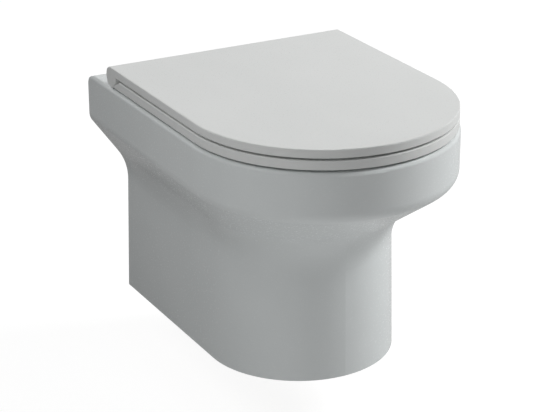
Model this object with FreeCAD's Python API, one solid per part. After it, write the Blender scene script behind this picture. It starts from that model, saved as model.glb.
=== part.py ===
import FreeCAD, Part
import math
import os

# Wall hung toilet: ceramic pan, soft-close seat and lid, and their fittings.
# The origin is the midpoint between the two wall bolts, on the wall face.
# +Y runs into the wall, the front of the pan is at -Y, and +Z is up.
Vector = FreeCAD.Vector

# Wall connections
BOLT_SPACING = 180.0
BOLT_HOLE = 13.0
SLEEVE_OUTER = 22.0
SLEEVE_FLANGE = 34.0
SLEEVE_FLANGE_THICKNESS = 3.0
INLET_RISE = 35.0
FLUSH_PIPE = 45.0
SEAL_WALL = 5.0
SEAL_LENGTH = 40.0
SEAL_LIP = 66.0
SEAL_LIP_THICKNESS = 4.0
OUTLET_DROP = 100.0
SPIGOT_OUTER = 102.0
SPIGOT_BORE = 84.0
SPIGOT_LENGTH = 52.0
SPIGOT_RECESS = 6.0

# Pan, outside
PAN_WIDTH = 360.0
PAN_PROJECTION = 505.0
PAN_HEIGHT = 329.0
RIM_RISE = 86.0
BAND_HEIGHT = 63.0
SHROUD_HEIGHT = 189.0
SHROUD_INSET = 56.0
SHROUD_SETBACK = 111.0
SHROUD_DRAFT = 1.36
BAND_ROUNDING = 21.0
SHROUD_ROUNDING = 75.0
RIM_ROUNDING = 5.0
DECK_BACK_ROUNDING = 15.0

# Pan, inside
WALL = 12.0
DECK = 16.0
BACK_WALL = 16.0
BACK_WALL_DROP = 38.0
RIM_LAND = 45.0
MOUTH_REAR = 130.0
MOUTH_ROUNDING = 6.0
CHANNEL_DEPTH = 40.0
LEDGE = 13.0
LEDGE_ROUNDING = 5.0
CORNER_SHARE = 0.6
SUMP_ROUNDING = 16.0
BOWL_WALL = 11.0
BOWL_SECTIONS = 6
BOWL_SIDE_CURVE = 1.2
BOWL_FRONT_CURVE = 0.75
BOWL_REAR_CURVE = 1.6
SUMP_WIDTH = 74.0
SUMP_FRONT = 278.0
SUMP_REAR = 190.0
TRAP_BORE = 60.0
TRAP_WALL = 9.0
TRAP_SEAL = 50.0
TRAP_BEND = 45.0
TRAP_CREST_FROM_WALL = 62.0
TRAP_CLEARANCE = 4.0
DUCT_BORE = 48.0
DUCT_WALL = 9.0
SEAM = 0.3
SEAM_MARGIN = 4.0

# Flush distributor
HOOD_WIDTH = 76.0
HOOD_DEPTH = 13.0
HOOD_DROP = 22.0
HOOD_WALL = 3.0
DISTRIBUTOR_TAIL = 30.0

# Seat and lid
LID_INSET = 2.0
SEAT_LIFT = 2.8
SEAT_THICKNESS = 12.4
LID_GAP = 2.6
LID_THICKNESS = 11.4
LID_SKIN = 4.5
LID_WALL = 9.0
EDGE_ROUNDING = 1.5
SEAT_OPENING = 224.0
SEAT_FRONT_LAND = 58.0
SEAT_OPENING_REAR = 165.0
SEAT_OPENING_CORNER = 85.0
SEAT_INNER_ROUNDING = 4.5
SEAT_CHAMFER_LENGTH = 12.5
SEAT_CHAMFER_DROP = 6.5
SEAT_TAIL = 10.0
SEAT_REAR_CLEARANCE = 0.8
NOTCH_CLEARANCE = 1.5
BUFFER_LENGTH = 36.0
BUFFER_WIDTH = 13.0
BUFFER_POCKET = 2.0
BUFFER_ANGLE = 48.0
BUFFER_REAR = 215.0
BUFFER_INSET = 28.0
LID_BUFFER = 14.0
LID_BUFFER_INSET = 32.0
LID_BUFFER_ANGLE = 38.0
LID_BUFFER_REAR = 190.0

# Hinge
HINGE_SPACING = 155.0
HINGE_FROM_WALL = 73.0
HINGE_RISE = 15.7
HINGE_HOLE = 14.0
HINGE_OFFSET = 22.5
BARREL = 29.4
BARREL_BACK_ROUNDING = 12.0
POST_WIDTH = 26.0
POST_DEPTH = 12.0
POST_ROUNDING = 3.0
KNUCKLE = 19.0
ARM_RISE = 1.0
ARM_DROP = 8.0
FOOT_LENGTH = 42.0
FOOT_WIDTH = 20.0
FOOT_THICKNESS = 1.4
GASKET_THICKNESS = 0.6
GASKET_MARGIN = 1.0
LUG_WIDTH = 20.0
SIDE_CLEARANCE = 0.5
SLOT_CLEARANCE = 1.0
FIT_CLEARANCE = 0.05
HOUSING = 14.0
HOUSING_WALL = 2.0
HOUSING_END = 3.0
SHAFT = 8.0
SHAFT_FLAT = 2.6
PIVOT_REACH = 18.0
CAP_PLUG = 4.0
ROTOR_CORE = 5.4
ROTOR_VANE = 2.4
ROTOR_CLEARANCE = 0.3
DAMPER_SEAL = 1.2
STUD = 8.0
STUD_ABOVE_DECK = 12.0
STUD_BELOW_DECK = 48.0
WASHER = 32.0
WASHER_THICKNESS = 3.0
NUT_HUB = 18.0
NUT_HEIGHT = 16.0
WING_SPAN = 42.0
WING_HEIGHT = 11.0
WING_THICKNESS = 4.0

# Places worked out from the sizes above
RIM_Z = RIM_RISE
BASE_Z = RIM_Z - PAN_HEIGHT
BAND_Z = RIM_Z - BAND_HEIGHT
NECK_Z = BASE_Z + SHROUD_HEIGHT
RIM_RADIUS = PAN_WIDTH / 2
RIM_CENTRE = RIM_RADIUS - PAN_PROJECTION
NECK_RADIUS = RIM_RADIUS - SHROUD_INSET
NECK_CENTRE = NECK_RADIUS + SHROUD_SETBACK - PAN_PROJECTION
TRAP_RADIUS = TRAP_BORE / 2
TRAP_LOW_Z = BASE_Z + TRAP_CLEARANCE + TRAP_WALL + TRAP_RADIUS
TRAP_CREST_Z = TRAP_LOW_Z + TRAP_BORE + TRAP_SEAL
TRAP_LEG_Y = -TRAP_CREST_FROM_WALL - TRAP_BEND
TRAP_SEAM_Y = TRAP_LEG_Y - TRAP_BEND
SUMP_Y = -(SUMP_FRONT + SUMP_REAR) / 2
SUMP_FLOOR_Z = TRAP_LOW_Z - TRAP_RADIUS
DECK_UNDER_Z = RIM_Z - DECK
LEDGE_Z = RIM_Z - CHANNEL_DEPTH
DUCT_SEAM_Y = BOWL_WALL - MOUTH_REAR
DUCT_OUTER = FLUSH_PIPE + 2 * SEAL_WALL + 2 * DUCT_WALL
SPIGOT_START_Y = -SPIGOT_RECESS - SPIGOT_LENGTH
MOUTH_SEAM_Z = INLET_RISE - DUCT_OUTER / 2 - SEAM_MARGIN
SUMP_SEAM_Z = TRAP_LOW_Z + TRAP_RADIUS + TRAP_WALL + SEAM_MARGIN
SEAT_Z = RIM_Z + SEAT_LIFT
SEAT_TOP = SEAT_Z + SEAT_THICKNESS
LID_Z = SEAT_TOP + LID_GAP
LID_TOP = LID_Z + LID_THICKNESS
LID_RADIUS = RIM_RADIUS - LID_INSET
HINGE_Y = -HINGE_FROM_WALL
HINGE_Z = RIM_Z + HINGE_RISE
STUD_Y = HINGE_Y - HINGE_OFFSET
POST_FRONT_Y = STUD_Y - POST_DEPTH / 2
POST_BACK_Y = STUD_Y + POST_DEPTH / 2
ARM_TOP = HINGE_Z + ARM_RISE
ARM_LOW = HINGE_Z - ARM_DROP
BARREL_RADIUS = BARREL / 2
SEAT_REAR_Y = HINGE_Y - SEAT_TAIL
SEAT_TOP_REAR_Y = HINGE_Y - BARREL_RADIUS - SEAT_CHAMFER_LENGTH
POST_HALF = POST_WIDTH / 2
HINGE_X = HINGE_SPACING / 2
SLOT_IN = HINGE_X - POST_HALF - SIDE_CLEARANCE
LUG_IN = HINGE_X + POST_HALF + SIDE_CLEARANCE
LUG_OUT = LUG_IN + LUG_WIDTH
SLOT_OUT = LUG_OUT + SIDE_CLEARANCE
PAST = 5.0
TOUCH = 1e-4


def line(start, end):
    """Straight edge between two points."""
    return Part.LineSegment(Vector(*start), Vector(*end)).toShape()


def arc(start, through, end):
    """Round edge through three points."""
    return Part.Arc(Vector(*start), Vector(*through), Vector(*end)).toShape()


def box(x0, x1, y0, y1, z0, z1):
    """Block between two corners."""
    return Part.makeBox(x1 - x0, y1 - y0, z1 - z0, Vector(x0, y0, z0))


def rod_x(diameter, x0, x1, y=HINGE_Y, z=HINGE_Z):
    """Round bar along X, on the hinge axis unless placed elsewhere."""
    return Part.makeCylinder(diameter / 2, x1 - x0, Vector(x0, y, z), Vector(1, 0, 0))


def rod_y(diameter, y0, y1, x, z):
    """Round bar along Y."""
    return Part.makeCylinder(diameter / 2, y1 - y0, Vector(x, y0, z), Vector(0, 1, 0))


def rod_z(diameter, z0, z1, x, y):
    """Round bar along Z."""
    return Part.makeCylinder(diameter / 2, z1 - z0, Vector(x, y, z0), Vector(0, 0, 1))


def mirrored(shape):
    """Shape seen in the middle plane of the toilet."""
    return shape.mirror(Vector(0, 0, 0), Vector(1, 0, 0))


def both_sides(shape):
    """Shape on the left and on the right."""
    return Part.makeCompound([mirrored(shape), shape])


def edges_at(shape, z, back=0.0):
    """Edges that lie at height z, apart from those on the flat back."""
    level = []
    for edge in shape.Edges:
        bounds = edge.BoundBox
        if abs(bounds.ZMin - z) < TOUCH and abs(bounds.ZMax - z) < TOUCH and bounds.YMin < back - TOUCH:
            level.append(edge)
    return level


def inner_edges(shape, z, half_width):
    """Edges at height z that lie within a half width of the middle."""
    return [edge for edge in edges_at(shape, z) if edge.BoundBox.XMin > -half_width - TOUCH
            and edge.BoundBox.XMax < half_width + TOUCH]


def d_outline(radius, centre, z, back=0.0):
    """D outline at height z: flat back, straight sides and a half-round front."""
    slant = radius * math.sqrt(0.5)
    return Part.Wire([
        line((-radius, back, z), (-radius, centre, z)),
        arc((-radius, centre, z), (-slant, centre - slant, z), (0, centre - radius, z)),
        arc((0, centre - radius, z), (slant, centre - slant, z), (radius, centre, z)),
        line((radius, centre, z), (radius, back, z)),
        line((radius, back, z), (-radius, back, z)),
    ])


def d_plate(radius, centre, back, z0, z1):
    """Flat plate with a D outline."""
    return Part.Face(d_outline(radius, centre, z0, back)).extrude(Vector(0, 0, z1 - z0))


def mouth_outline(half_width, front, rear, corner, z):
    """Bowl outline at height z: half-round front, straight sides and a round-cornered rear."""
    slant = half_width * math.sqrt(0.5)
    middle = half_width - front
    inner = half_width - corner
    bend = corner * (1 - math.sqrt(0.5))
    return Part.Wire([
        arc((0, -front, z), (slant, middle - slant, z), (half_width, middle, z)),
        line((half_width, middle, z), (half_width, -rear - corner, z)),
        arc((half_width, -rear - corner, z), (half_width - bend, -rear - bend, z), (inner, -rear, z)),
        line((inner, -rear, z), (-inner, -rear, z)),
        arc((-inner, -rear, z), (bend - half_width, -rear - bend, z), (-half_width, -rear - corner, z)),
        line((-half_width, -rear - corner, z), (-half_width, middle, z)),
        arc((-half_width, middle, z), (-slant, middle - slant, z), (0, -front, z)),
    ])


def pan_form(inset, z0, z1, back):
    """Form of the pan between two heights, taken in by a wall thickness."""
    flare_angle = math.atan2(SHROUD_INSET, BAND_Z - NECK_Z)
    lift = inset * math.tan(flare_angle / 2)
    base_radius = NECK_RADIUS + (NECK_Z - z0) * math.tan(math.radians(SHROUD_DRAFT))
    rim = d_outline(RIM_RADIUS - inset, RIM_CENTRE, BAND_Z + lift, back)
    neck = d_outline(NECK_RADIUS - inset, NECK_CENTRE, NECK_Z + lift, back)
    base = d_outline(base_radius - inset, NECK_CENTRE, z0, back)
    band = Part.Face(rim).extrude(Vector(0, 0, z1 - BAND_Z - lift))
    flare = Part.makeLoft([rim, neck], True, True)
    shroud = Part.makeLoft([neck, base], True, True)
    return band.fuse([flare, shroud]).removeSplitter()


def bowl_form(grow, floor_z):
    """Bowl below the ledge: sections that shrink from the ledge to the sump, grown by a wall."""
    top_z = LEDGE_Z - grow
    half_top = RIM_RADIUS - RIM_LAND - LEDGE
    front_top = PAN_PROJECTION - RIM_LAND - LEDGE
    rear_top = MOUTH_REAR + LEDGE
    sections = []
    for step in range(BOWL_SECTIONS):
        depth = step / (BOWL_SECTIONS - 1)
        half_width = half_top + (SUMP_WIDTH / 2 - half_top) * depth ** BOWL_SIDE_CURVE + grow
        front = front_top + (SUMP_FRONT - front_top) * depth ** BOWL_FRONT_CURVE + grow
        rear = rear_top + (SUMP_REAR - rear_top) * depth ** BOWL_REAR_CURVE - grow
        z = top_z + (floor_z - top_z) * depth
        sections.append(mouth_outline(half_width, front, rear, CORNER_SHARE * half_width, z))
    return Part.makeLoft(sections, True, False)


def mouth_form(grow, z0, z1):
    """Upright mouth of the bowl above the ledge, grown by a wall."""
    half_width = RIM_RADIUS - RIM_LAND + grow
    outline = mouth_outline(half_width, PAN_PROJECTION - RIM_LAND + grow, MOUTH_REAR - grow,
                            CORNER_SHARE * half_width, z0)
    return Part.Face(outline).extrude(Vector(0, 0, z1 - z0))


def trap_run(diameter):
    """Straight start of the trapway, out of the sump."""
    return rod_y(diameter, SUMP_Y, TRAP_SEAM_Y, 0, TRAP_LOW_Z)


def trap_form(radius):
    """Rest of the trapway: up behind the bowl, over the crest and back to the spigot."""
    crest_y = -TRAP_CREST_FROM_WALL
    slant = TRAP_BEND * (1 - math.sqrt(0.5))
    low_turn = TRAP_LOW_Z + TRAP_BEND
    crest_turn = TRAP_CREST_Z - TRAP_BEND
    start = (0, TRAP_SEAM_Y, TRAP_LOW_Z)
    crest = (0, crest_y, TRAP_CREST_Z)
    path = Part.Wire([
        arc(start, (0, TRAP_LEG_Y - slant, TRAP_LOW_Z + slant), (0, TRAP_LEG_Y, low_turn)),
        line((0, TRAP_LEG_Y, low_turn), (0, TRAP_LEG_Y, crest_turn)),
        arc((0, TRAP_LEG_Y, crest_turn), (0, TRAP_LEG_Y + slant, TRAP_CREST_Z - slant), crest),
        line(crest, (0, SPIGOT_START_Y + SPIGOT_LENGTH / 2, TRAP_CREST_Z)),
    ])
    ring = Part.Wire(Part.makeCircle(radius, Vector(*start), Vector(0, 1, 0)))
    return path.makePipeShell([ring], True, False)


def bowl_cavity():
    """Hollow of the bowl with its open flush channel and ledge under the rim."""
    bowl = bowl_form(0, SUMP_FLOOR_Z)
    bowl = bowl.makeFillet(SUMP_ROUNDING, edges_at(bowl, SUMP_FLOOR_Z))
    cavity = mouth_form(0, LEDGE_Z, RIM_Z + PAST).fuse(bowl)
    return cavity.makeFillet(LEDGE_ROUNDING, edges_at(cavity, LEDGE_Z))


def deck_back_corner():
    """Corner taken off where the deck rounds down to the wall."""
    half = RIM_RADIUS + PAST
    y = -DECK_BACK_ROUNDING
    z = RIM_Z - DECK_BACK_ROUNDING
    corner = box(-half, half, y, PAST, z, RIM_Z + PAST)
    return corner.cut(rod_x(2 * DECK_BACK_ROUNDING, -half, half, y, z))


def pan_outside():
    """Outside of the pan with the mouth of the bowl opened and every edge rounded."""
    outside = pan_form(0, BASE_Z, RIM_Z, 0)
    outside = outside.makeFillet(BAND_ROUNDING, edges_at(outside, BAND_Z))
    outside = outside.makeFillet(SHROUD_ROUNDING, edges_at(outside, NECK_Z))
    outside = outside.makeFillet(RIM_ROUNDING, edges_at(outside, RIM_Z))
    opened = outside.cut([mouth_form(0, LEDGE_Z, RIM_Z + PAST), deck_back_corner()])
    return opened.makeFillet(MOUTH_ROUNDING, inner_edges(opened, RIM_Z, RIM_RADIUS - RIM_LAND))


def pan_hollow(inset, back):
    """Room under the deck and inside the shell, taken in by a wall thickness."""
    return pan_form(inset, BASE_Z - PAST, DECK_UNDER_Z, back)


def inlet_holes():
    """Seats of the inlet seal and the bore of the flush duct."""
    return [
        rod_y(DUCT_BORE, -MOUTH_REAR - LEDGE - PAST, 0, 0, INLET_RISE),
        rod_y(FLUSH_PIPE + 2 * SEAL_WALL, -SEAL_LIP_THICKNESS - SEAL_LENGTH, PAST, 0, INLET_RISE),
        rod_y(SEAL_LIP, -SEAL_LIP_THICKNESS, PAST, 0, INLET_RISE),
    ]


def pan_shell():
    """Deck, rim band, flare and foot as one thin shell, open below and behind."""
    hinge_hole = rod_z(HINGE_HOLE, DECK_UNDER_Z - PAST, RIM_Z + PAST, HINGE_X, STUD_Y)
    return pan_outside().cut([pan_hollow(WALL, PAST), both_sides(hinge_hole)] + inlet_holes())


def bowl_casting():
    """Bowl hung under the deck, with the sump outlet and the flush inlet boss."""
    outside = bowl_form(BOWL_WALL, SUMP_FLOOR_Z - TRAP_WALL).fuse([
        mouth_form(BOWL_WALL, LEDGE_Z - BOWL_WALL, DECK_UNDER_Z),
        trap_run(TRAP_BORE + 2 * TRAP_WALL),
        rod_y(DUCT_OUTER, -MOUTH_REAR - LEDGE, DUCT_SEAM_Y, 0, INLET_RISE),
    ])
    inside = [bowl_cavity(), trap_run(TRAP_BORE)] + inlet_holes()
    return outside.common(pan_hollow(WALL + SEAM, 0)).cut(inside).removeSplitter()


def bowl_part(casting, z0, z1):
    """Length of the bowl between two flat casting seams."""
    return casting.common(box(-RIM_RADIUS, RIM_RADIUS, -PAN_PROJECTION, 0, z0, z1))


def pan_trapway():
    """Trapway behind the bowl with the outlet spigot."""
    spigot = rod_y(SPIGOT_OUTER, SPIGOT_START_Y - TRAP_WALL, -SPIGOT_RECESS, 0, -OUTLET_DROP)
    bore = rod_y(SPIGOT_BORE, SPIGOT_START_Y, PAST, 0, -OUTLET_DROP)
    outside = trap_form(TRAP_RADIUS + TRAP_WALL).fuse(spigot)
    return outside.cut([trap_form(TRAP_RADIUS), bore]).removeSplitter()


def pan_fixing_wall():
    """Wall that hangs on the studs, with the duct that brings the flush water to the bowl."""
    wall = box(-RIM_RADIUS, RIM_RADIUS, -BACK_WALL, 0, -BACK_WALL_DROP, DECK_UNDER_Z)
    duct = rod_y(DUCT_OUTER, DUCT_SEAM_Y, 0, 0, INLET_RISE)
    sleeve_hole = rod_y(SLEEVE_OUTER, -BACK_WALL - PAST, PAST, BOLT_SPACING / 2, 0)
    inside = [both_sides(sleeve_hole)] + inlet_holes()
    return wall.fuse(duct).common(pan_hollow(WALL, PAST)).cut(inside).removeSplitter()


def flush_distributor():
    """Tube that plugs the flush duct, with a hood that turns the water along the ledge."""
    wall_y = -MOUTH_REAR - LEDGE
    front_y = wall_y - HOOD_DEPTH
    top_z = INLET_RISE + DUCT_BORE / 2 - FIT_CLEARANCE
    half = HOOD_WIDTH / 2
    tube = rod_y(DUCT_BORE - 2 * FIT_CLEARANCE, wall_y, wall_y + DISTRIBUTOR_TAIL, 0, INLET_RISE)
    bore = rod_y(DUCT_BORE - 2 * HOOD_WALL, wall_y - PAST, wall_y + DISTRIBUTOR_TAIL + PAST, 0, INLET_RISE)
    roof = box(-half, half, front_y, -MOUTH_REAR - FIT_CLEARANCE, top_z - HOOD_WALL, top_z)
    face = box(-half, half, front_y, front_y + HOOD_WALL, INLET_RISE - HOOD_DROP, top_z)
    return tube.cut(bore).fuse([roof, face]).removeSplitter()


def inlet_seal():
    """Rubber sleeve with a lip, for the flush pipe."""
    outer = FLUSH_PIPE + 2 * SEAL_WALL - 2 * FIT_CLEARANCE
    start = -SEAL_LIP_THICKNESS - SEAL_LENGTH
    sleeve = rod_y(outer, start, 0, 0, INLET_RISE)
    lip = rod_y(SEAL_LIP - 2 * FIT_CLEARANCE, -SEAL_LIP_THICKNESS, 0, 0, INLET_RISE)
    return sleeve.fuse(lip).removeSplitter().cut(rod_y(FLUSH_PIPE, start - PAST, PAST, 0, INLET_RISE))


def bolt_sleeve():
    """Flanged sleeve that keeps a wall stud off the ceramic, right side."""
    x = BOLT_SPACING / 2
    flange_y = -BACK_WALL - SLEEVE_FLANGE_THICKNESS
    sleeve = rod_y(SLEEVE_OUTER - 2 * FIT_CLEARANCE, -BACK_WALL, 0, x, 0)
    flange = rod_y(SLEEVE_FLANGE, flange_y, -BACK_WALL, x, 0)
    return sleeve.fuse(flange).cut(rod_y(BOLT_HOLE, flange_y - PAST, PAST, x, 0))


def stadium(length, width, z0, z1):
    """Upright bar with round ends, along Y at the origin."""
    half = width / 2
    end = length / 2 - half
    outline = Part.Wire([
        line((half, -end, z0), (half, end, z0)),
        arc((half, end, z0), (0, end + half, z0), (-half, end, z0)),
        line((-half, end, z0), (-half, -end, z0)),
        arc((-half, -end, z0), (0, -end - half, z0), (half, -end, z0)),
    ])
    return Part.Face(outline).extrude(Vector(0, 0, z1 - z0))


def seat_buffers():
    """Four rubber buffers that carry the seat on the flat of the rim."""
    radius = LID_RADIUS - BUFFER_INSET
    bar = stadium(BUFFER_LENGTH, BUFFER_WIDTH, RIM_Z, SEAT_Z + BUFFER_POCKET)
    rear = bar.translated(Vector(radius, -BUFFER_REAR, 0))
    front = bar.translated(Vector(radius, RIM_CENTRE, 0))
    front.rotate(Vector(0, RIM_CENTRE, 0), Vector(0, 0, 1), BUFFER_ANGLE - 90)
    return Part.makeCompound([rear, mirrored(rear), front, mirrored(front)])


def lid_buffers():
    """Four round buffers between the lid and the seat."""
    radius = LID_RADIUS - LID_BUFFER_INSET
    rear = rod_z(LID_BUFFER, SEAT_TOP, LID_TOP - LID_SKIN, radius, -LID_BUFFER_REAR)
    front = rod_z(LID_BUFFER, SEAT_TOP, LID_TOP - LID_SKIN, radius, RIM_CENTRE)
    front.rotate(Vector(0, RIM_CENTRE, 0), Vector(0, 0, 1), LID_BUFFER_ANGLE - 90)
    return Part.makeCompound([rear, mirrored(rear), front, mirrored(front)])


def shaft_form(x0, x1, clearance):
    """Hinge shaft with a flat on top, so that what it fits turns with it."""
    flat_z = HINGE_Z + SHAFT_FLAT + clearance
    flat = box(x0, x1, HINGE_Y - SHAFT, HINGE_Y + SHAFT, flat_z, flat_z + SHAFT)
    return rod_x(SHAFT + 2 * clearance, x0, x1).cut(flat)


def seat_lug():
    """Knuckle and arm that hang the seat on the hinge, right side."""
    arm = box(LUG_IN, LUG_OUT, SEAT_TOP_REAR_Y, HINGE_Y, ARM_LOW, SEAT_TOP)
    return rod_x(KNUCKLE, LUG_IN, LUG_OUT).fuse(arm)


def seat_notch():
    """Notch in the back of the seat that the hinge post stands in, right side."""
    front_y = POST_FRONT_Y - NOTCH_CLEARANCE
    return box(SLOT_IN, LUG_IN, front_y, SEAT_REAR_Y + PAST, SEAT_Z - PAST, SEAT_TOP + PAST)


def seat_rear():
    """Room behind the seat: the lid's barrel with a clearance, and the chamfer above its rear end."""
    half = LID_RADIUS + PAST
    slope = SEAT_CHAMFER_DROP / SEAT_CHAMFER_LENGTH
    start = (-half, SEAT_TOP_REAR_Y - PAST, SEAT_TOP + slope * PAST)
    low_end = (-half, HINGE_Y, SEAT_TOP - slope * (HINGE_Y - SEAT_TOP_REAR_Y))
    high_end = (-half, HINGE_Y, SEAT_TOP + slope * PAST)
    wedge = Part.Wire([line(start, low_end), line(low_end, high_end), line(high_end, start)])
    barrel = rod_x(BARREL + 2 * SEAT_REAR_CLEARANCE, -half, half)
    return [Part.Face(wedge).extrude(Vector(2 * half, 0, 0)), barrel]


def seat_ring():
    """Seat with its opening, hinge lugs, post notches and buffer pockets."""
    half = SEAT_OPENING / 2
    front = -RIM_CENTRE + LID_RADIUS - SEAT_FRONT_LAND
    opening = mouth_outline(half, front, SEAT_OPENING_REAR, SEAT_OPENING_CORNER, SEAT_Z)
    plate = d_plate(LID_RADIUS, RIM_CENTRE, SEAT_REAR_Y, SEAT_Z, SEAT_TOP)
    rims = edges_at(plate, SEAT_TOP, SEAT_REAR_Y) + edges_at(plate, SEAT_Z, SEAT_REAR_Y)
    plate = plate.makeFillet(EDGE_ROUNDING, rims)
    ring = plate.cut([Part.Face(opening).extrude(Vector(0, 0, SEAT_THICKNESS))] + seat_rear())
    inner = inner_edges(ring, SEAT_TOP, half) + inner_edges(ring, SEAT_Z, half)
    ring = ring.makeFillet(SEAT_INNER_ROUNDING, inner)
    ring = ring.fuse([seat_lug(), mirrored(seat_lug())]).removeSplitter()
    return ring.cut([
        both_sides(seat_notch()),
        seat_buffers(),
        shaft_form(LUG_IN - PAST, LUG_OUT + PAST, FIT_CLEARANCE),
        rod_x(SHAFT + 2 * FIT_CLEARANCE, -LUG_OUT - PAST, -LUG_IN + PAST),
    ])


def lid_barrel():
    """Full-width barrel at the back of the lid, round the hinge axis."""
    x = -LID_RADIUS
    front_y = HINGE_Y - BARREL_RADIUS
    back_y = HINGE_Y + BARREL_RADIUS
    low_z = HINGE_Z - BARREL_RADIUS
    round_y = back_y - BARREL_BACK_ROUNDING
    round_z = LID_TOP - BARREL_BACK_ROUNDING
    round_slant = BARREL_BACK_ROUNDING * math.sqrt(0.5)
    profile = Part.Wire([
        line((x, front_y, LID_TOP), (x, front_y, HINGE_Z)),
        arc((x, front_y, HINGE_Z), (x, HINGE_Y, low_z), (x, back_y, HINGE_Z)),
        line((x, back_y, HINGE_Z), (x, back_y, round_z)),
        arc((x, back_y, round_z), (x, round_y + round_slant, round_z + round_slant), (x, round_y, LID_TOP)),
        line((x, round_y, LID_TOP), (x, front_y, LID_TOP)),
    ])
    return Part.Face(profile).extrude(Vector(2 * LID_RADIUS, 0, 0))


def lid_slot():
    """Room in the barrel for the hinge post and the seat lug as the lid turns right over, right side."""
    reach = BARREL_RADIUS + PAST
    low_z = HINGE_Z - reach
    front_y = HINGE_Y - reach
    back_y = HINGE_Y + reach
    post_back = HINGE_Z + ARM_DROP + SLOT_CLEARANCE
    lug_back = HINGE_Y + ARM_DROP + SLOT_CLEARANCE
    return rod_x(KNUCKLE + 2 * SLOT_CLEARANCE, SLOT_IN, SLOT_OUT).fuse([
        box(SLOT_IN, LUG_IN, front_y, HINGE_Y, low_z, ARM_TOP + SLOT_CLEARANCE),
        box(SLOT_IN, LUG_IN, HINGE_Y, back_y, low_z, post_back),
        box(LUG_IN, SLOT_OUT, front_y, lug_back, low_z, SEAT_TOP + SLOT_CLEARANCE),
    ])


def lid():
    """Lid with a hollow underside and a hinge barrel across its back."""
    plate = d_plate(LID_RADIUS, RIM_CENTRE, HINGE_Y, LID_Z, LID_TOP)
    body = plate.fuse(lid_barrel()).removeSplitter()
    body = body.makeFillet(EDGE_ROUNDING, lid_rim_edges(body))
    pocket_rear = HINGE_Y - BARREL_RADIUS - LID_WALL
    pocket = d_plate(LID_RADIUS - LID_WALL, RIM_CENTRE, pocket_rear, LID_Z - PAST, LID_TOP - LID_SKIN)
    socket_end = PIVOT_REACH + SIDE_CLEARANCE - SLOT_IN
    return body.cut([
        pocket,
        lid_slot(),
        mirrored(lid_slot()),
        shaft_form(-SLOT_IN - PAST, socket_end, FIT_CLEARANCE),
        rod_x(SHAFT + 2 * FIT_CLEARANCE, -socket_end, SLOT_IN + PAST),
    ])


def lid_rim_edges(body):
    """Outer edges of the lid: both side outlines and the half-round front, above and below."""
    rims = []
    for edge in body.Edges:
        bounds = edge.BoundBox
        on_side = bounds.XLength < TOUCH and abs(abs(bounds.XMin) - LID_RADIUS) < TOUCH
        on_front = bounds.ZLength < TOUCH and bounds.YMin < RIM_CENTRE - TOUCH
        upright = bounds.YLength < TOUCH
        if (on_side or on_front) and not upright:
            rims.append(edge)
    return rims


def foot_form(margin, z0, z1, x):
    """Long round-ended plate across the hinge stud, taken in by a margin."""
    plate = stadium(FOOT_LENGTH - 2 * margin, FOOT_WIDTH - 2 * margin, z0, z1)
    plate.rotate(Vector(0, 0, 0), Vector(0, 0, 1), 90)
    return plate.translated(Vector(x, STUD_Y, 0))


def hinge_post(x):
    """Foot, column and rearward arm to the knuckle that carries a damper."""
    foot_z = RIM_Z + GASKET_THICKNESS
    column = box(x - POST_HALF, x + POST_HALF, POST_FRONT_Y, POST_BACK_Y, foot_z, ARM_TOP)
    front = [edge for edge in column.Edges if edge.BoundBox.YMax < POST_FRONT_Y + TOUCH]
    rounded = [edge for edge in front if edge.BoundBox.ZMax > ARM_TOP - TOUCH]
    column = column.makeFillet(POST_ROUNDING, rounded)
    arm = box(x - POST_HALF, x + POST_HALF, POST_BACK_Y, HINGE_Y, ARM_LOW, ARM_TOP)
    knuckle = rod_x(KNUCKLE, x - POST_HALF, x + POST_HALF)
    foot = foot_form(0, foot_z, foot_z + FOOT_THICKNESS, x)
    return foot.fuse([column, arm, knuckle]).removeSplitter().cut([
        rod_x(HOUSING + 2 * FIT_CLEARANCE, x - POST_HALF - PAST, x + POST_HALF + PAST),
        rod_z(STUD + 2 * FIT_CLEARANCE, RIM_Z, RIM_Z + STUD_ABOVE_DECK + FIT_CLEARANCE, x, STUD_Y),
    ])


def damper_housing(x):
    """Damper cylinder with a chamber open on its left and a shaft hole on its right."""
    start = x - POST_HALF
    end = x + POST_HALF
    return rod_x(HOUSING, start, end).cut([
        rod_x(HOUSING - 2 * HOUSING_WALL, start - PAST, end - HOUSING_END),
        rod_x(SHAFT + 2 * FIT_CLEARANCE, start, end + PAST),
    ])


def pivot_cap(x):
    """Plug of the damper chamber with the plain pivot on its left."""
    start = x - POST_HALF
    plug = rod_x(HOUSING - 2 * HOUSING_WALL - 2 * FIT_CLEARANCE, start, start + CAP_PLUG)
    return plug.fuse(rod_x(SHAFT, start - PIVOT_REACH, start))


def damper_seal(x):
    """Square ring that seals the damper shaft."""
    end = x + POST_HALF - HOUSING_END
    ring = rod_x(HOUSING - 2 * HOUSING_WALL - 2 * FIT_CLEARANCE, end - DAMPER_SEAL, end)
    return ring.cut(rod_x(SHAFT + 2 * FIT_CLEARANCE, end - DAMPER_SEAL - PAST, end + PAST))


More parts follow.
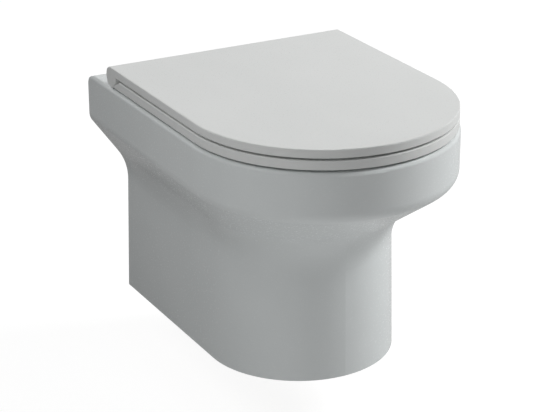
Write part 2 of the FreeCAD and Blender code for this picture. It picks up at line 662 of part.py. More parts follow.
def damper_rotor(x):
    """Vaned rotor in the damper chamber, with a flatted shaft on its right."""
    vanes_start = x - POST_HALF + CAP_PLUG + ROTOR_CLEARANCE
    vanes_end = x + POST_HALF - HOUSING_END - DAMPER_SEAL - ROTOR_CLEARANCE
    shaft_end = x + POST_HALF + PIVOT_REACH
    flat_start = x + POST_HALF + SIDE_CLEARANCE
    sweep = HOUSING - 2 * HOUSING_WALL - 2 * ROTOR_CLEARANCE
    vane = box(vanes_start, vanes_end, HINGE_Y - ROTOR_VANE / 2, HINGE_Y + ROTOR_VANE / 2,
               HINGE_Z - sweep, HINGE_Z + sweep)
    vanes = vane.common(rod_x(sweep, vanes_start, vanes_end))
    return vanes.fuse([
        rod_x(ROTOR_CORE, vanes_start, vanes_end),
        rod_x(SHAFT, vanes_end, flat_start),
        shaft_form(flat_start, shaft_end, 0),
    ]).removeSplitter()


def hinge_stud():
    """Stud that holds a hinge post to the pan, right side."""
    return rod_z(STUD, RIM_Z - STUD_BELOW_DECK, RIM_Z + STUD_ABOVE_DECK, HINGE_X, STUD_Y)


def stud_hole(z0, z1):
    """Hole for a hinge stud, right side."""
    return rod_z(STUD + 2 * FIT_CLEARANCE, z0 - PAST, z1 + PAST, HINGE_X, STUD_Y)


def stud_ring(diameter, z0, z1):
    """Ring round a hinge stud, right side."""
    return rod_z(diameter, z0, z1, HINGE_X, STUD_Y).cut(stud_hole(z0, z1))


def hinge_gasket():
    """Pad between a hinge post and the pan, right side."""
    pad = foot_form(GASKET_MARGIN, RIM_Z, RIM_Z + GASKET_THICKNESS, HINGE_X)
    return pad.cut(stud_hole(RIM_Z, RIM_Z))


def wing_nut():
    """Wing nut that clamps a hinge post from below, right side."""
    top = DECK_UNDER_Z - WASHER_THICKNESS
    low = top - NUT_HEIGHT
    half = WING_THICKNESS / 2
    span = WING_SPAN / 2
    wings = box(HINGE_X - span, HINGE_X + span, STUD_Y - half, STUD_Y + half, low, low + WING_HEIGHT)
    hub = rod_z(NUT_HUB, low, top, HINGE_X, STUD_Y)
    return hub.fuse(wings).removeSplitter().cut(stud_hole(low, top))


def pieces():
    """Every node of the toilet by name."""
    bowl = bowl_casting()
    return {
        "pan_shell": pan_shell(),
        "pan_mouth": bowl_part(bowl, MOUTH_SEAM_Z, DECK_UNDER_Z),
        "pan_bowl": bowl_part(bowl, SUMP_SEAM_Z, MOUTH_SEAM_Z),
        "pan_sump": bowl_part(bowl, BASE_Z, SUMP_SEAM_Z),
        "pan_trapway": pan_trapway(),
        "pan_fixing_wall": pan_fixing_wall(),
        "flush_distributor": flush_distributor(),
        "inlet_seal": inlet_seal(),
        "bolt_sleeves": both_sides(bolt_sleeve()),
        "hinge_post_left": hinge_post(-HINGE_X),
        "hinge_post_right": hinge_post(HINGE_X),
        "hinge_gaskets": both_sides(hinge_gasket()),
        "hinge_studs": both_sides(hinge_stud()),
        "hinge_bushes": both_sides(stud_ring(HINGE_HOLE - 2 * FIT_CLEARANCE, DECK_UNDER_Z, RIM_Z)),
        "hinge_washers": both_sides(stud_ring(WASHER, DECK_UNDER_Z - WASHER_THICKNESS, DECK_UNDER_Z)),
        "hinge_wing_nuts": both_sides(wing_nut()),
        "damper_housing_left": damper_housing(-HINGE_X),
        "damper_housing_right": damper_housing(HINGE_X),
        "damper_seals": Part.makeCompound([damper_seal(-HINGE_X), damper_seal(HINGE_X)]),
        "pivot_cap_left": pivot_cap(-HINGE_X),
        "pivot_cap_right": pivot_cap(HINGE_X),
        "seat_ring": seat_ring(),
        "seat_buffers": seat_buffers(),
        "seat_damper_rotor": damper_rotor(HINGE_X),
        "lid": lid(),
        "lid_buffers": lid_buffers(),
        "lid_damper_rotor": damper_rotor(-HINGE_X),
    }


def main():
    """Writes each node to its own file."""
    os.makedirs("parts", exist_ok=True)
    for name, shape in pieces().items():
        shape.exportStep(f"parts/{name}.step")


main()
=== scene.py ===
"""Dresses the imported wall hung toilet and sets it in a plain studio."""
import logging
import math
from abc import ABC, abstractmethod
from dataclasses import dataclass, field
from enum import Enum, auto

import bmesh
import bpy
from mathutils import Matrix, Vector


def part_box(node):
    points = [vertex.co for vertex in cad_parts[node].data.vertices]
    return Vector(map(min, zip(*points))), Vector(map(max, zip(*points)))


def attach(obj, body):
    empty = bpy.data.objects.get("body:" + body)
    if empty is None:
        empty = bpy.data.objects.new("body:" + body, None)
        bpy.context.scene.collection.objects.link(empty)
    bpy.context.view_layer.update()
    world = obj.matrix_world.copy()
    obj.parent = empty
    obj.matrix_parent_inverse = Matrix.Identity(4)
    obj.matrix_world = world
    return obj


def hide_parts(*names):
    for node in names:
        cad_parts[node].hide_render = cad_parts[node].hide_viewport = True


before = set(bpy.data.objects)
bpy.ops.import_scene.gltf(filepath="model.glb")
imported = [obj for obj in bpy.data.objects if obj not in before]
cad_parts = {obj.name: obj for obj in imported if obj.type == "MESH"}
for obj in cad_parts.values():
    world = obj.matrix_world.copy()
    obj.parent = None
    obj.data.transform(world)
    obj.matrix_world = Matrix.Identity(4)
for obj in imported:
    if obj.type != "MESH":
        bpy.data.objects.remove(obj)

Point = tuple[float, float, float]
Colour = tuple[float, float, float]
Range = tuple[float, float]
Socket = bpy.types.NodeSocket
Outputs = bpy.types.NodeOutputs
Source = Socket | float | Colour

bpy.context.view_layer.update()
WHITE: Colour = (1.0, 1.0, 1.0)
OPAQUE = 1.0
METAL = 1.0
WHOLE: Range = (0.0, 1.0)
MIDDLE_OF_NOISE: Range = (0.3, 0.7)
log = logging.getLogger("wall_hung_toilet")


class Coat(Enum):
    """Finishes of the pieces; all but the four of the pan are named after the record's slots."""

    GLAZE_OUTSIDE = "glaze_outside"
    GLAZE_INSIDE = "glaze_inside"
    GLAZE_PIPE = "glaze_pipe"
    BISQUE = "glaze_nowhere"
    RESIN = "seat_resin"
    STEEL = "hinge_steel"
    ZINC = "zinc_steel"
    DAMPER = "damper_plastic"
    WHITE_PLASTIC = "white_plastic"
    BLACK_RUBBER = "black_rubber"
    BUFFER = "buffer_rubber"


class Glazed(Enum):
    """Which faces of a ceramic casting carry the glaze."""

    OUTSIDE = auto()
    INSIDE = auto()
    PIPE = auto()
    NOWHERE = auto()


class Sum(Enum):
    """Sums of two numbers, by Blender's names."""

    MINUS = "SUBTRACT"
    TIMES = "MULTIPLY"
    LEAST = "MINIMUM"
    MOST = "MAXIMUM"
    UNDER = "LESS_THAN"
    OVER = "GREATER_THAN"


class VectorSum(Enum):
    """Sums with vectors, by Blender's names, each with the name of its result."""

    UNIT = ("NORMALIZE", "Vector")
    LENGTH = ("LENGTH", "Value")
    DOT = ("DOT_PRODUCT", "Value")


class Mixed(Enum):
    """What a mix node mixes, with the places of its two inputs and its output."""

    NUMBERS = ("FLOAT", 2, 3, 0)
    COLOURS = ("RGBA", 6, 7, 2)


@dataclass(frozen=True)
class Grain:
    """A noise pattern: grains per metre, octaves, and its scale along each axis."""

    scale: float
    detail: float = 2.0
    stretch: Point = (1.0, 1.0, 1.0)


@dataclass(frozen=True)
class Relief:
    """A fine surface relief: its depth in metres and the share of it that shows."""

    depth: float
    share: float


class Graph:
    """A node tree under construction, with short calls for the nodes used here."""

    def __init__(self, tree: bpy.types.NodeTree) -> None:
        """Takes up a node tree.

        Args:
            tree: Node tree of a material or the world.
        """
        self.tree = tree

    def node(self, kind: str, **settings: object) -> bpy.types.Node:
        """Adds a node.

        Args:
            kind: Blender's name of the node type.
            settings: Properties of the node.

        Returns:
            The new node.
        """
        made = self.tree.nodes.new(kind)
        for name, value in settings.items():
            setattr(made, name, value)
        return made

    def feed(self, source: Source, target: Socket) -> None:
        """Links a socket to an input, or sets the input to a constant.

        Args:
            source: An output socket, a number, a vector or a colour.
            target: The input socket.
        """
        if isinstance(source, bpy.types.NodeSocket):
            self.tree.links.new(source, target)
        elif target.type == "RGBA":
            target.default_value = (*source, OPAQUE)
        else:
            target.default_value = source

    def fill(self, node: bpy.types.Node, **sources: Source) -> bpy.types.Node:
        """Feeds inputs of a node.

        Args:
            node: The node.
            sources: What goes into each input, with underscores for the spaces in its name.

        Returns:
            The node.
        """
        for name, source in sources.items():
            self.feed(source, node.inputs[name.replace("_", " ")])
        return node

    def math(self, kind: Sum, first: Source, second: Source) -> Socket:
        """Does a sum with two numbers.

        Args:
            kind: The sum.
            first: First number.
            second: Second number.

        Returns:
            The result.
        """
        made = self.node("ShaderNodeMath", operation=kind.value)
        self.feed(first, made.inputs[0])
        self.feed(second, made.inputs[1])
        return made.outputs[0]

    def vector(self, kind: VectorSum, *sources: Source) -> Socket:
        """Does a sum with one or two vectors.

        Args:
            kind: The sum.
            sources: The vectors.

        Returns:
            The result.
        """
        operation, result = kind.value
        made = self.node("ShaderNodeVectorMath", operation=operation)
        for source, target in zip(sources, made.inputs):
            self.feed(source, target)
        return made.outputs[result]

    def join(self, x: Source, y: Source) -> Socket:
        """Makes a level vector from its two lengths."""
        return self.fill(self.node("ShaderNodeCombineXYZ"), X=x, Y=y).outputs["Vector"]

    def length(self, first: Source, second: Source) -> Socket:
        """Gives the distance that two legs at right angles add up to."""
        return self.vector(VectorSum.LENGTH, self.join(first, second))

    def ramp(self, value: Socket, start: Range, end: Range, smooth: bool = False) -> Socket:
        """Maps one range of numbers to another and holds at its ends.

        Args:
            value: The number.
            start: Range of the number.
            end: Range of the result.
            smooth: Whether the result eases in and out.

        Returns:
            The result.
        """
        kind = "SMOOTHSTEP" if smooth else "LINEAR"
        made = self.node("ShaderNodeMapRange", clamp=True, interpolation_type=kind)
        self.fill(made, Value=value, From_Min=start[0], From_Max=start[1],
                  To_Min=end[0], To_Max=end[1])
        return made.outputs["Result"]

    def mix(self, share: Source, first: Socket, second: Socket) -> Socket:
        """Mixes two shaders.

        Args:
            share: Share of the second.
            first: First shader.
            second: Second shader.

        Returns:
            The mixture.
        """
        made = self.node("ShaderNodeMixShader")
        for source, target in zip((share, first, second), made.inputs):
            self.feed(source, target)
        return made.outputs[0]

    def rays(self) -> Outputs:
        """Gives the kinds of rays by name."""
        return self.node("ShaderNodeLightPath").outputs

    def seen(self) -> Socket:
        """Marks rays that show the background: from the camera, off gloss and through glass.

        Returns:
            1 for such rays.
        """
        rays = self.rays()
        total = rays["Is Camera Ray"]
        for name in ("Is Glossy Ray", "Is Transmission Ray"):
            total = self.math(Sum.MOST, total, rays[name])
        return total

    def close(self, output: str, shader: Socket) -> None:
        """Ends the tree with a shader.

        Args:
            output: Name of the output node.
            shader: The shader.
        """
        self.fill(self.tree.nodes[output], Surface=shader)


class Surface(Graph):
    """A material under construction: patterns fixed to the piece and one principled shader."""

    def __init__(self, name: str) -> None:
        """Starts the material.

        Args:
            name: Name of the material.
        """
        self.material = bpy.data.materials.new(name)
        self.material.use_nodes = True
        super().__init__(self.material.node_tree)
        self.shader = self.tree.nodes["Principled BSDF"]
        self.coordinates = self.node("ShaderNodeTexCoord").outputs

    def split(self, vector: Socket) -> Outputs:
        """Splits a vector into X, Y and Z."""
        return self.fill(self.node("ShaderNodeSeparateXYZ"), Vector=vector).outputs

    def place(self) -> Outputs:
        """Gives X, Y and Z of each point in metres."""
        return self.split(self.coordinates["Object"])

    def facing(self) -> Outputs:
        """Gives X, Y and Z of the way that each face looks."""
        return self.split(self.coordinates["Normal"])

    def noise(self, grain: Grain) -> Socket:
        """Adds a noise pattern.

        Args:
            grain: The pattern.

        Returns:
            The noise, from 0 to 1.
        """
        mapping = self.fill(self.node("ShaderNodeMapping"), Scale=grain.stretch,
                            Vector=self.coordinates["Object"])
        made = self.fill(self.node("ShaderNodeTexNoise"), Scale=grain.scale, Detail=grain.detail,
                         Vector=mapping.outputs["Vector"])
        return made.outputs["Fac"]

    def cells(self, scale: float) -> Socket:
        """Adds a pattern of crystal cells.

        Args:
            scale: Cells per metre.

        Returns:
            One grey value for each cell.
        """
        made = self.fill(self.node("ShaderNodeTexVoronoi", feature="F1"), Scale=scale,
                         Vector=self.coordinates["Object"])
        grey = self.fill(self.node("ShaderNodeRGBToBW"), Color=made.outputs["Color"])
        return grey.outputs[0]

    def span(self, pattern: Socket, ends: Range = WHOLE) -> Socket:
        """Maps the middle of a pattern to a range."""
        return self.ramp(pattern, MIDDLE_OF_NOISE, ends)

    def blend(self, share: Socket, first: Source, second: Source,
              kind: Mixed = Mixed.COLOURS) -> Socket:
        """Mixes two colours or two numbers.

        Args:
            share: Share of the second.
            first: First colour or number.
            second: Second colour or number.
            kind: What is mixed.

        Returns:
            The mixture.
        """
        data_type, first_at, second_at, result_at = kind.value
        made = self.node("ShaderNodeMix", data_type=data_type)
        self.feed(share, made.inputs[0])
        self.feed(first, made.inputs[first_at])
        self.feed(second, made.inputs[second_at])
        return made.outputs[result_at]

    def bump(self, height: Socket, relief: Relief, under: Socket | None = None) -> Socket:
        """Turns a pattern into a surface relief.

        Args:
            height: The pattern, from 0 to 1.
            relief: Depth and share of the relief.
            under: A coarser relief below this one.

        Returns:
            The surface normal.
        """
        made = self.fill(self.node("ShaderNodeBump"), Distance=relief.depth,
                         Strength=relief.share, Height=height)
        if under is not None:
            self.fill(made, Normal=under)
        return made.outputs["Normal"]

    def shade(self, **sources: Source) -> bpy.types.Material:
        """Feeds the shader and ends the material.

        Args:
            sources: What goes into each input, with underscores for the spaces in its name.

        Returns:
            The material.
        """
        self.fill(self.shader, **sources)
        return self.material


class Finish(ABC):
    """A surface finish that can be made into a material."""

    @abstractmethod
    def material(self, name: str) -> bpy.types.Material:
        """Makes the material of this finish.

        Args:
            name: Name of the material.

        Returns:
            The material.
        """


@dataclass(frozen=True)
class Glaze(Finish):
    """White glaze on vitreous china, with the bare fired body where no glaze was sprayed."""

    where: Glazed
    colour: Colour = (0.722, 0.75, 0.75)
    pooled: Colour = (0.69, 0.72, 0.72)
    cloud: Grain = Grain(7.0, 3.0)
    ripple: Grain = Grain(9.0, 1.0)
    ripple_relief: Relief = Relief(0.0008, 0.2)
    peel: Grain = Grain(260.0)
    peel_relief: Relief = Relief(0.00004, 0.35)
    gloss: Grain = Grain(400.0, 3.0)
    gloss_roughness: Range = (0.24, 0.28)
    ior: float = 1.5
    specular: float = 0.25
    bisque: Colour = (0.70, 0.67, 0.61)
    bisque_dark: Colour = (0.61, 0.575, 0.515)
    speckle: Grain = Grain(900.0, 3.0)
    speckle_relief: Relief = Relief(0.0003, 0.6)
    bisque_roughness: Range = (0.62, 0.8)
    bisque_mean_roughness: float = 0.72
    # Upright axes of the round front and the bowl, underside of the deck, and the trap's first
    # bend: where it begins, its radius and the reach of its bore.
    front_y: float = -0.29
    bowl_y: float = -0.27
    under_deck: float = field(default_factory=lambda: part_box("pan_mouth")[1].z)
    deck_margin: float = 0.0002
    trap_y: float = -0.152
    trap_z: float = -0.2
    trap_bend: float = 0.045
    trap_reach: float = 0.0305
    # Cosines from which a face counts as looking out, at the wall, up, in, or forward.
    looks_out: float = 0.02
    looks_at_wall: float = 0.9
    looks_up: float = 0.05
    looks_in: float = -0.1
    looks_forward: float = -0.3

    def direction(self, surface: Surface, centre_y: float) -> Socket:
        """Says how far each face looks away from an upright axis.

        Args:
            surface: The material.
            centre_y: Place of the axis; behind it the sides run straight.

        Returns:
            The cosine between the face and the way out.
        """
        place = surface.place()
        ahead = surface.math(Sum.LEAST, surface.math(Sum.MINUS, place["Y"], centre_y), 0.0)
        way_out = surface.vector(VectorSum.UNIT, surface.join(place["X"], ahead))
        return surface.vector(VectorSum.DOT, way_out, surface.coordinates["Normal"])

    def outside(self, surface: Surface) -> Socket:
        """Marks the shell's outer faces and its deck, without the back that meets the wall.

        Args:
            surface: The material.

        Returns:
            1 where the glaze lies and 0 on the bare body.
        """
        outer = surface.math(Sum.OVER, self.direction(surface, self.front_y), self.looks_out)
        deck = surface.math(Sum.OVER, surface.place()["Z"], self.under_deck + self.deck_margin)
        free = surface.math(Sum.UNDER, surface.facing()["Y"], self.looks_at_wall)
        return surface.math(Sum.TIMES, surface.math(Sum.MOST, outer, deck), free)

    def pipe(self, surface: Surface) -> Socket:
        """Marks the bore of the trapway's first bend, which shows through the sump.

        Args:
            surface: The material.

        Returns:
            1 where the glaze lies and 0 on the bare body.
        """
        place = surface.place()
        rise = surface.math(Sum.MINUS, place["Z"], self.trap_z + self.trap_bend)
        turn = surface.length(surface.math(Sum.MINUS, place["Y"], self.trap_y), rise)
        off = surface.length(place["X"], surface.math(Sum.MINUS, turn, self.trap_bend))
        bore = surface.math(Sum.UNDER, off, self.trap_reach)
        return surface.math(Sum.TIMES, bore, surface.math(Sum.UNDER, rise, 0.0))

    def inside(self, surface: Surface) -> Socket:
        """Marks the trap's straight bore, faces that look up or in, and the bowl's rear wall.

        Args:
            surface: The material.

        Returns:
            1 where the glaze lies and 0 on the bare body.
        """
        place, facing = surface.place(), surface.facing()
        off = surface.length(place["X"], surface.math(Sum.MINUS, place["Z"], self.trap_z))
        covered = surface.math(Sum.UNDER, off, self.trap_reach)
        upper = surface.math(Sum.OVER, facing["Z"], self.looks_up)
        inner = surface.math(Sum.UNDER, self.direction(surface, self.bowl_y), self.looks_in)
        forward = surface.math(Sum.UNDER, facing["Y"], self.looks_forward)
        behind = surface.math(Sum.OVER, place["Y"], self.bowl_y)
        for faces in (upper, inner, surface.math(Sum.TIMES, forward, behind)):
            covered = surface.math(Sum.MOST, covered, faces)
        return covered

    def material(self, name: str) -> bpy.types.Material:
        """Makes the material of this finish.

        Args:
            name: Name of the material.

        Returns:
            The material.
        """
        surface = Surface(name)
        speckle = surface.noise(self.speckle)
        bare = surface.blend(surface.span(speckle), self.bisque_dark, self.bisque)
        if self.where is Glazed.NOWHERE:
            return surface.shade(
                Base_Color=bare,
                Roughness=surface.span(speckle, self.bisque_roughness),
                Normal=surface.bump(speckle, self.speckle_relief),
            )
        marks = {Glazed.OUTSIDE: self.outside, Glazed.INSIDE: self.inside, Glazed.PIPE: self.pipe}
        covered = marks[self.where](surface)
        cloud = surface.span(surface.noise(self.cloud))
        white = surface.blend(cloud, self.pooled, self.colour)
        gloss = surface.span(surface.noise(self.gloss), self.gloss_roughness)
        ripple = surface.bump(surface.noise(self.ripple), self.ripple_relief)
        return surface.shade(
            Base_Color=surface.blend(covered, bare, white),
            Roughness=surface.blend(covered, self.bisque_mean_roughness, gloss, Mixed.NUMBERS),
            Normal=surface.bump(surface.noise(self.peel), self.peel_relief, ripple),
            IOR=self.ior,
            Specular_IOR_Level=self.specular,
        )


@dataclass(frozen=True)
class MouldedResin(Finish):
    """Pressed white thermoset of the seat and lid, polished outside."""

    colour: Colour = (0.735, 0.747, 0.737)
    shade: Colour = (0.71, 0.723, 0.713)
    flow: Grain = Grain(9.0, 2.0, (1.0, 0.6, 1.0))
    wave: Grain = Grain(11.0, 1.0)
    wave_relief: Relief = Relief(0.0003, 0.12)
    grain: Grain = Grain(1500.0)
    grain_relief: Relief = Relief(0.00003, 0.3)
    polish: Grain = Grain(600.0, 3.0)
    roughness: Range = (0.27, 0.31)
    ior: float = 1.5
    specular: float = 0.25

    def material(self, name: str) -> bpy.types.Material:
        """Makes the material of this finish.

        Args:
            name: Name of the material.

        Returns:
            The material.
        """
        surface = Surface(name)
        flow = surface.span(surface.noise(self.flow))
        wave = surface.bump(surface.noise(self.wave), self.wave_relief)
        return surface.shade(
            Base_Color=surface.blend(flow, self.shade, self.colour),
            Roughness=surface.span(surface.noise(self.polish), self.roughness),
            Normal=surface.bump(surface.noise(self.grain), self.grain_relief, wave),
            IOR=self.ior,
            Specular_IOR_Level=self.specular,
        )


@dataclass(frozen=True)
class BrushedSteel(Finish):
    """Satin stainless steel, brushed across the post."""

    colour: Colour = (0.62, 0.62, 0.61)
    dark: Colour = (0.5, 0.5, 0.495)
    lines: Grain = Grain(120.0, 4.0, (0.25, 30.0, 30.0))
    lines_relief: Relief = Relief(0.00002, 0.4)
    roughness: Range = (0.24, 0.42)
    anisotropy: float = 0.5

    def material(self, name: str) -> bpy.types.Material:
        """Makes the material of this finish.

        Args:
            name: Name of the material.

        Returns:
            The material.
        """
        surface = Surface(name)
        lines = surface.noise(self.lines)
        return surface.shade(
            Base_Color=surface.blend(surface.span(lines), self.dark, self.colour),
            Roughness=surface.span(lines, self.roughness),
            Normal=surface.bump(lines, self.lines_relief),
            Metallic=METAL,
            Anisotropic=self.anisotropy,
        )


@dataclass(frozen=True)
class ZincPlate(Finish):
    """Bright zinc plating with its fine crystal pattern."""

    colour: Colour = (0.68, 0.69, 0.71)
    dark: Colour = (0.53, 0.54, 0.57)
    crystals_per_metre: float = 700.0
    roughness: Range = (0.26, 0.4)
    pits: Grain = Grain(1800.0)
    pits_relief: Relief = Relief(0.00002, 0.4)

    def material(self, name: str) -> bpy.types.Material:
        """Makes the material of this finish.

        Args:
            name: Name of the material.

        Returns:
            The material.
        """
        surface = Surface(name)
        crystals = surface.cells(self.crystals_per_metre)
        return surface.shade(
            Base_Color=surface.blend(surface.span(crystals), self.dark, self.colour),
            Roughness=surface.span(crystals, self.roughness),
            Normal=surface.bump(surface.noise(self.pits), self.pits_relief),
            Metallic=METAL,
        )


@dataclass(frozen=True)
class MouldedPlastic(Finish):
    """Injection moulded plastic with a fine spark-eroded grain."""

    colour: Colour
    shade: Colour
    flow: Grain = Grain(30.0, 3.0)
    grain: Grain = Grain(1400.0)
    grain_relief: Relief = Relief(0.00006, 0.5)
    roughness: Range = (0.36, 0.5)
    ior: float = 1.49

    def material(self, name: str) -> bpy.types.Material:
        """Makes the material of this finish.

        Args:
            name: Name of the material.

        Returns:
            The material.
        """
        surface = Surface(name)
        flow = surface.span(surface.noise(self.flow))
        grain = surface.noise(self.grain)
        return surface.shade(
            Base_Color=surface.blend(flow, self.shade, self.colour),
            Roughness=surface.span(grain, self.roughness),
            Normal=surface.bump(grain, self.grain_relief),
            IOR=self.ior,
        )


@dataclass(frozen=True)
class Rubber(Finish):
    """Moulded rubber with a dull bloom."""

    colour: Colour
    bloom: Colour
    dust: Grain = Grain(160.0, 4.0)
    grain: Grain = Grain(1100.0, 3.0)
    grain_relief: Relief = Relief(0.00008, 0.5)
    roughness: Range = (0.58, 0.76)
    ior: float = 1.5
    sheen: float = 0.12
    sheen_roughness: float = 0.5

    def material(self, name: str) -> bpy.types.Material:
        """Makes the material of this finish.

        Args:
            name: Name of the material.

        Returns:
            The material.
        """
        surface = Surface(name)
        dust = surface.noise(self.dust)
        return surface.shade(
            Base_Color=surface.blend(surface.span(dust), self.colour, self.bloom),
            Roughness=surface.span(dust, self.roughness),
            Normal=surface.bump(surface.noise(self.grain), self.grain_relief),
            IOR=self.ior,
            Sheen_Weight=self.sheen,
            Sheen_Roughness=self.sheen_roughness,
        )


@dataclass
class Assembly(ABC):
    """A sub-assembly that dresses its CAD nodes."""

    finishes: dict[Coat, bpy.types.Material]

    def paint(self, coat: Coat, *names: str) -> None:
        """Gives CAD nodes a finish.

        Args:
            coat: The finish.
            names: The nodes.
        """
        for name in names:
            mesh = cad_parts[name].data
            mesh.materials.clear()
            mesh.materials.append(self.finishes[coat])
            log.info("%s: %s", name, coat.value)

    @abstractmethod
    def dress(self) -> None:
        """Builds and dresses the sub-assembly."""


@dataclass
class Pan(Assembly):
    """Ceramic pan: shell, mouth, bowl, sump, trapway and fixing wall, fired as one."""

    def dress(self) -> None:
        """Glazes what is seen and leaves the hollow bare."""
        self.paint(Coat.GLAZE_OUTSIDE, "pan_shell")
        self.paint(Coat.GLAZE_INSIDE, "pan_mouth", "pan_bowl", "pan_sump")
        self.paint(Coat.GLAZE_PIPE, "pan_trapway")
        self.paint(Coat.BISQUE, "pan_fixing_wall")


@dataclass
class FlushFittings(Assembly):
    """Plastic and rubber fittings of the flush inlet and the wall studs."""

    def dress(self) -> None:
        """Dresses the distributor, the inlet seal and the stud sleeves."""
        self.paint(Coat.WHITE_PLASTIC, "flush_distributor", "bolt_sleeves")
        self.paint(Coat.BLACK_RUBBER, "inlet_seal")


@dataclass
class Hinge(Assembly):
    """Seat hinge with its posts, dampers and clamping studs; the studs ride on the pan."""

    body: str = "pan"
    thread_pitch: float = 0.00125
    thread_depth: float = 0.00068
    point_length: float = 0.0012
    corners_round: int = 28
    rows_per_pitch: int = 6

    def thread_radius(self, radius: float, along: float, length: float, angle: float) -> float:
        """Gives the radius of a screw thread at one point.

        Args:
            radius: Radius over the thread.
            along: Distance from the lower end.
            length: Length of the stud.
            angle: Angle round the stud.

        Returns:
            The radius there.
        """
        phase = (along / self.thread_pitch - angle / math.tau) % 1.0
        groove = self.thread_depth * abs(2 * phase - 1)
        end = min(along, length - along)
        point = max(0.0, self.point_length - end)
        return radius - max(groove, point)

    def stud_mesh(self, foot: Point, radius: float, length: float,
                  mesh: bmesh.types.BMesh) -> None:
        """Adds one threaded stud.

        Args:
            foot: Middle of the lower end.
            radius: Radius over the thread.
            length: Length of the stud.
            mesh: The mesh it goes into.
        """
        x, y, z = foot
        corners = range(self.corners_round)
        rows = round(length / self.thread_pitch * self.rows_per_pitch)
        rings = []
        for row in range(rows + 1):
            along = length * row / rows
            ring = []
            for corner in corners:
                angle = math.tau * corner / self.corners_round
                reach = self.thread_radius(radius, along, length, angle)
                ring.append(mesh.verts.new(
                    (x + reach * math.cos(angle), y + reach * math.sin(angle), z + along)))
            rings.append(ring)
        for low, high in zip(rings, rings[1:]):
            for corner in corners:
                after = (corner + 1) % self.corners_round
                mesh.faces.new((low[corner], low[after], high[after], high[corner]))
        mesh.faces.new(list(reversed(rings[0])))
        mesh.faces.new(rings[-1])

    def studs(self) -> bpy.types.Object:
        """Cuts the threads of the two studs, in the places of their CAD solids.

        Returns:
            Both studs as one piece.
        """
        low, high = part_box("hinge_studs")
        radius = (high.y - low.y) / 2
        mesh = bmesh.new()
        for x in (low.x + radius, high.x - radius):
            self.stud_mesh((x, (low.y + high.y) / 2, low.z), radius, high.z - low.z, mesh)
        data = bpy.data.meshes.new("threaded_hinge_studs")
        mesh.to_mesh(data)
        mesh.free()
        piece = bpy.data.objects.new("threaded_hinge_studs", data)
        bpy.context.scene.collection.objects.link(piece)
        data.materials.append(self.finishes[Coat.ZINC])
        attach(piece, self.body)
        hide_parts("hinge_studs")
        return piece

    def dress(self) -> None:
        """Dresses the hinge and cuts its threads."""
        self.paint(Coat.STEEL, "hinge_post_left", "hinge_post_right")
        self.paint(Coat.BLACK_RUBBER, "hinge_gaskets", "hinge_bushes", "hinge_washers",
                   "damper_seals")
        self.paint(Coat.WHITE_PLASTIC, "hinge_wing_nuts")
        self.paint(Coat.DAMPER, "damper_housing_left", "damper_housing_right", "pivot_cap_left",
                   "pivot_cap_right", "seat_damper_rotor", "lid_damper_rotor")
        self.paint(Coat.ZINC, "hinge_studs")
        log.info("%s: threads cut", self.studs().name)


@dataclass
class SeatAndLid(Assembly):
    """Seat and lid with their buffers."""

    def dress(self) -> None:
        """Dresses the two leaves and their buffers."""
        self.paint(Coat.RESIN, "seat_ring", "lid")
        self.paint(Coat.BUFFER, "seat_buffers", "lid_buffers")


@dataclass(frozen=True)
class Lamp:
    """A square soft light that looks at the pan; mirrored says whether gloss reflects it."""

    name: str
    place: Point
    size: float
    power: float
    mirrored: bool
    aim: Point = (0.0, -0.25, -0.02)

    def hang(self) -> bpy.types.Object:
        """Hangs the lamp.

        Returns:
            The lamp.
        """
        data = bpy.data.lights.new(self.name, "AREA")
        data.shape = "SQUARE"
        data.size = self.size
        data.energy = self.power
        lamp = bpy.data.objects.new(self.name, data)
        lamp.location = self.place
        lamp.visible_glossy = self.mirrored
        view = Vector(self.aim) - Vector(self.place)
        lamp.rotation_euler = view.to_track_quat("-Z", "Y").to_euler()
        bpy.context.scene.collection.objects.link(lamp)
        return lamp


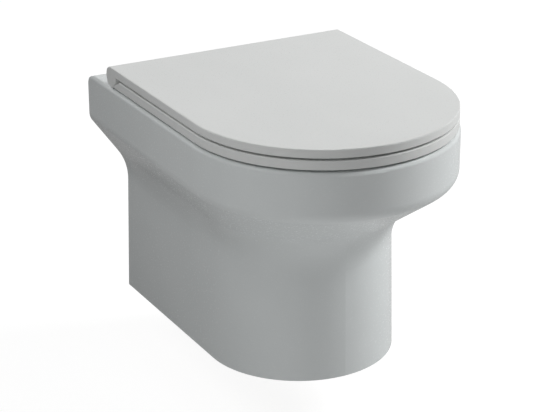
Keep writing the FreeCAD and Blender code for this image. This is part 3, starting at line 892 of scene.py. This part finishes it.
@dataclass
class Studio:
    """Pale floor, soft light and the camera of the picture."""

    floor_z: float = -0.33
    floor_half: float = 14.0
    floor_colour: Colour = (0.8, 0.8, 0.8)
    shadow_share: float = 0.25
    # The floor's colour for the light it bounces to the pan is painted dark behind the pan and
    # pale in front of it, so it sends more light back to the pan in front of it than behind it.
    bounce_way: Point = (0.0, -1.0, 0.0)
    bounce_stretch: Range = (-0.2, 0.6)
    bounce: Range = (0.08, 0.88)
    # White of the floor in reflections and to the camera, then that of the background and the
    # light that the background sheds.
    mirror_level: float = 0.4
    white_level: float = 1.2
    background_level: float = 1.0
    background_light: float = 0.0
    lens: float = 124.6
    sensor: float = 36.0
    camera_place: Point = (-1.1496, -2.3053, 0.9086)
    camera_turn: Point = (67.72, 0.0, -28.71)
    lamps: tuple[Lamp, ...] = (
        Lamp("right", (2.3, -0.9, 1.6), size=0.9, power=74.5, mirrored=False),
        Lamp("left", (-1.6, -0.2, 2.0), size=1.2, power=15.0, mirrored=True),
        Lamp("front_left", (-0.8, -0.9, 0.35), size=0.5, power=1.65, mirrored=False),
        Lamp("behind", (-0.6, 2.1, 1.2), size=1.6, power=22.0, mirrored=False),
    )

    def floor_material(self) -> bpy.types.Material:
        """Makes the floor's surface: white with a soft shadow to the eye, and to the pan a
        painted bounce that is darker behind the pan than in front of it.

        Returns:
            The material.
        """
        material = bpy.data.materials.new("pale_floor")
        material.use_nodes = True
        graph = Graph(material.node_tree)
        graph.tree.nodes.remove(graph.tree.nodes["Principled BSDF"])
        level = graph.ramp(graph.rays()["Is Camera Ray"], WHOLE,
                           (self.mirror_level, self.white_level))
        white = graph.fill(graph.node("ShaderNodeEmission"), Strength=level)
        matt = graph.fill(graph.node("ShaderNodeBsdfDiffuse"), Color=self.floor_colour)
        shown = graph.mix(self.shadow_share, white.outputs[0], matt.outputs[0])
        # Painted bounce: the floor's colour for light sent to the pan runs from dark behind it to
        # pale in front of it.
        place = graph.node("ShaderNodeNewGeometry").outputs["Position"]
        ahead = graph.vector(VectorSum.DOT, place, self.bounce_way)
        bounce = graph.ramp(ahead, self.bounce_stretch, self.bounce, smooth=True)
        painted_bounce_floor = graph.fill(graph.node("ShaderNodeBsdfDiffuse"), Color=bounce)
        graph.close("Material Output", graph.mix(graph.seen(), painted_bounce_floor.outputs[0], shown))
        return material

    def floor(self) -> bpy.types.Object:
        """Lays the floor.

        Returns:
            The floor.
        """
        half = self.floor_half
        corners = [(-half, -half, 0), (half, -half, 0), (half, half, 0), (-half, half, 0)]
        data = bpy.data.meshes.new("studio_floor")
        data.from_pydata(corners, [], [range(len(corners))])
        data.materials.append(self.floor_material())
        floor = bpy.data.objects.new("studio_floor", data)
        floor.location = (0, 0, self.floor_z)
        bpy.context.scene.collection.objects.link(floor)
        return floor

    def world(self) -> None:
        """Sets a white background that sheds no light on the pan."""
        world = bpy.data.worlds.new("studio")
        world.use_nodes = True
        bpy.context.scene.world = world
        graph = Graph(world.node_tree)
        light = graph.fill(graph.tree.nodes["Background"], Color=WHITE,
                           Strength=self.background_light)
        white = graph.fill(graph.node("ShaderNodeBackground"), Color=WHITE,
                           Strength=self.background_level)
        graph.close("World Output", graph.mix(graph.seen(), light.outputs[0], white.outputs[0]))

    def camera(self) -> bpy.types.Object:
        """Places the camera at the photograph's viewing angle.

        Returns:
            The camera.
        """
        data = bpy.data.cameras.new("camera")
        data.lens = self.lens
        data.sensor_width = self.sensor
        camera = bpy.data.objects.new("camera", data)
        camera.location = self.camera_place
        camera.rotation_euler = [math.radians(turn) for turn in self.camera_turn]
        bpy.context.scene.collection.objects.link(camera)
        bpy.context.scene.camera = camera
        return camera

    def build(self) -> None:
        """Builds the whole studio."""
        bpy.context.scene.view_settings.view_transform = "Standard"
        self.world()
        log.info("%s laid", self.floor().name)
        for lamp in self.lamps:
            log.info("%s hung", lamp.hang().name)
        log.info("%s placed", self.camera().name)


def all_finishes() -> dict[Coat, bpy.types.Material]:
    """Makes every material once.

    Returns:
        The materials by finish.
    """
    kinds: dict[Coat, Finish] = {
        Coat.GLAZE_OUTSIDE: Glaze(Glazed.OUTSIDE),
        Coat.GLAZE_INSIDE: Glaze(Glazed.INSIDE),
        Coat.GLAZE_PIPE: Glaze(Glazed.PIPE),
        Coat.BISQUE: Glaze(Glazed.NOWHERE),
        Coat.RESIN: MouldedResin(),
        Coat.STEEL: BrushedSteel(),
        Coat.ZINC: ZincPlate(),
        Coat.DAMPER: MouldedPlastic(colour=(0.3, 0.31, 0.32), shade=(0.26, 0.27, 0.28)),
        Coat.WHITE_PLASTIC: MouldedPlastic(colour=(0.7, 0.708, 0.7), shade=(0.66, 0.668, 0.66)),
        Coat.BLACK_RUBBER: Rubber(colour=(0.022, 0.022, 0.024), bloom=(0.045, 0.045, 0.046)),
        Coat.BUFFER: Rubber(colour=(0.52, 0.52, 0.51), bloom=(0.6, 0.6, 0.59)),
    }
    return {coat: finish.material(coat.value) for coat, finish in kinds.items()}


def main() -> None:
    """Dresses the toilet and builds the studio."""
    logging.basicConfig(level=logging.INFO, format="%(name)s: %(message)s")
    finishes = all_finishes()
    for assembly in (Pan, FlushFittings, Hinge, SeatAndLid):
        assembly(finishes).dress()
        log.info("%s dressed", assembly.__name__)
    Studio().build()


if __name__ == "__main__":
    main()
